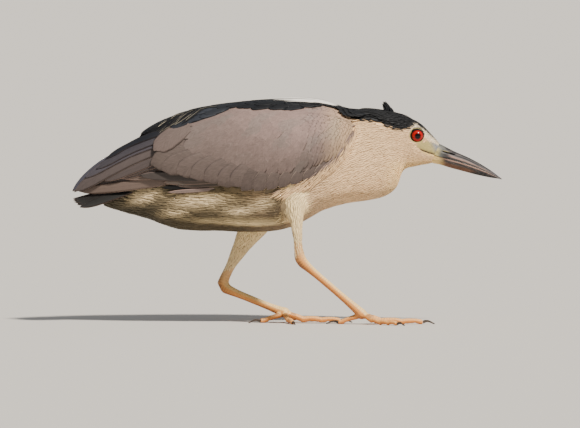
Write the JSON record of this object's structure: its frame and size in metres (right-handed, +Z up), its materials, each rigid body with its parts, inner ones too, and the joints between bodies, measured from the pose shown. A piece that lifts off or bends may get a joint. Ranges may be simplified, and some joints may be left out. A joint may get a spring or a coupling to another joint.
{
  "type": "black-crowned night heron",
  "caption": "Life-size adult black-crowned night heron walking low: neck folded, bill pointing down and forward, wings closed, feet flat on the floor in mid-stride.",
  "frame": {"origin": "middle of the footprint box, on the floor that both feet stand on", "axes": "+X towards the bill, along the bird's length; +Y towards the bird's left side; +Z up"},
  "size_m": [0.4394, 0.1162, 0.2326],
  "materials": {
    "cream_feather": "matt overlapping body feathers, cream to buff",
    "black_feather": "close-lying crown and back feathers, black with a dull green-blue gloss",
    "grey_feather": "matt wing and tail feathers, warm mauve-grey with paler edges",
    "white_feather": "thin white plumes",
    "bill_horn": "slate-black horn with a low sheen, paler along the cutting edge",
    "leg_scale": "scaled skin, buff-yellow to orange",
    "claw_horn": "dark brown horn",
    "eye_red": "wet, deep red iris with a black pupil"
  },
  "bodies": {
    "root": {"bill_lower": "bill_horn", "bill_upper": "bill_horn", "claw_left_hind": "claw_horn", "claw_left_inner": "claw_horn", "claw_left_middle": "claw_horn", "claw_left_outer": "claw_horn", "claw_right_hind": "claw_horn", "claw_right_inner": "claw_horn", "claw_right_middle": "claw_horn", "claw_right_outer": "claw_horn", "crest": "black_feather", "eye_left": "eye_red", "eye_right": "eye_red", "flight_left": "grey_feather", "flight_right": "grey_feather", "head": "cream_feather", "mantle": "black_feather", "nape_plume_far": "white_feather", "nape_plume_near": "white_feather", "neck": "cream_feather", "shank_left": "leg_scale", "shank_right": "leg_scale", "tail": "grey_feather", "tarsus_left": "leg_scale", "tarsus_right": "leg_scale", "thigh_left": "cream_feather", "thigh_right": "cream_feather", "toe_left_hind": "leg_scale", "toe_left_inner": "leg_scale", "toe_left_middle": "leg_scale", "toe_left_outer": "leg_scale", "toe_right_hind": "leg_scale", "toe_right_inner": "leg_scale", "toe_right_middle": "leg_scale", "toe_right_outer": "leg_scale", "trunk": "cream_feather", "wing_left": "grey_feather", "wing_right": "grey_feather"}
  },
  "joints": []
}
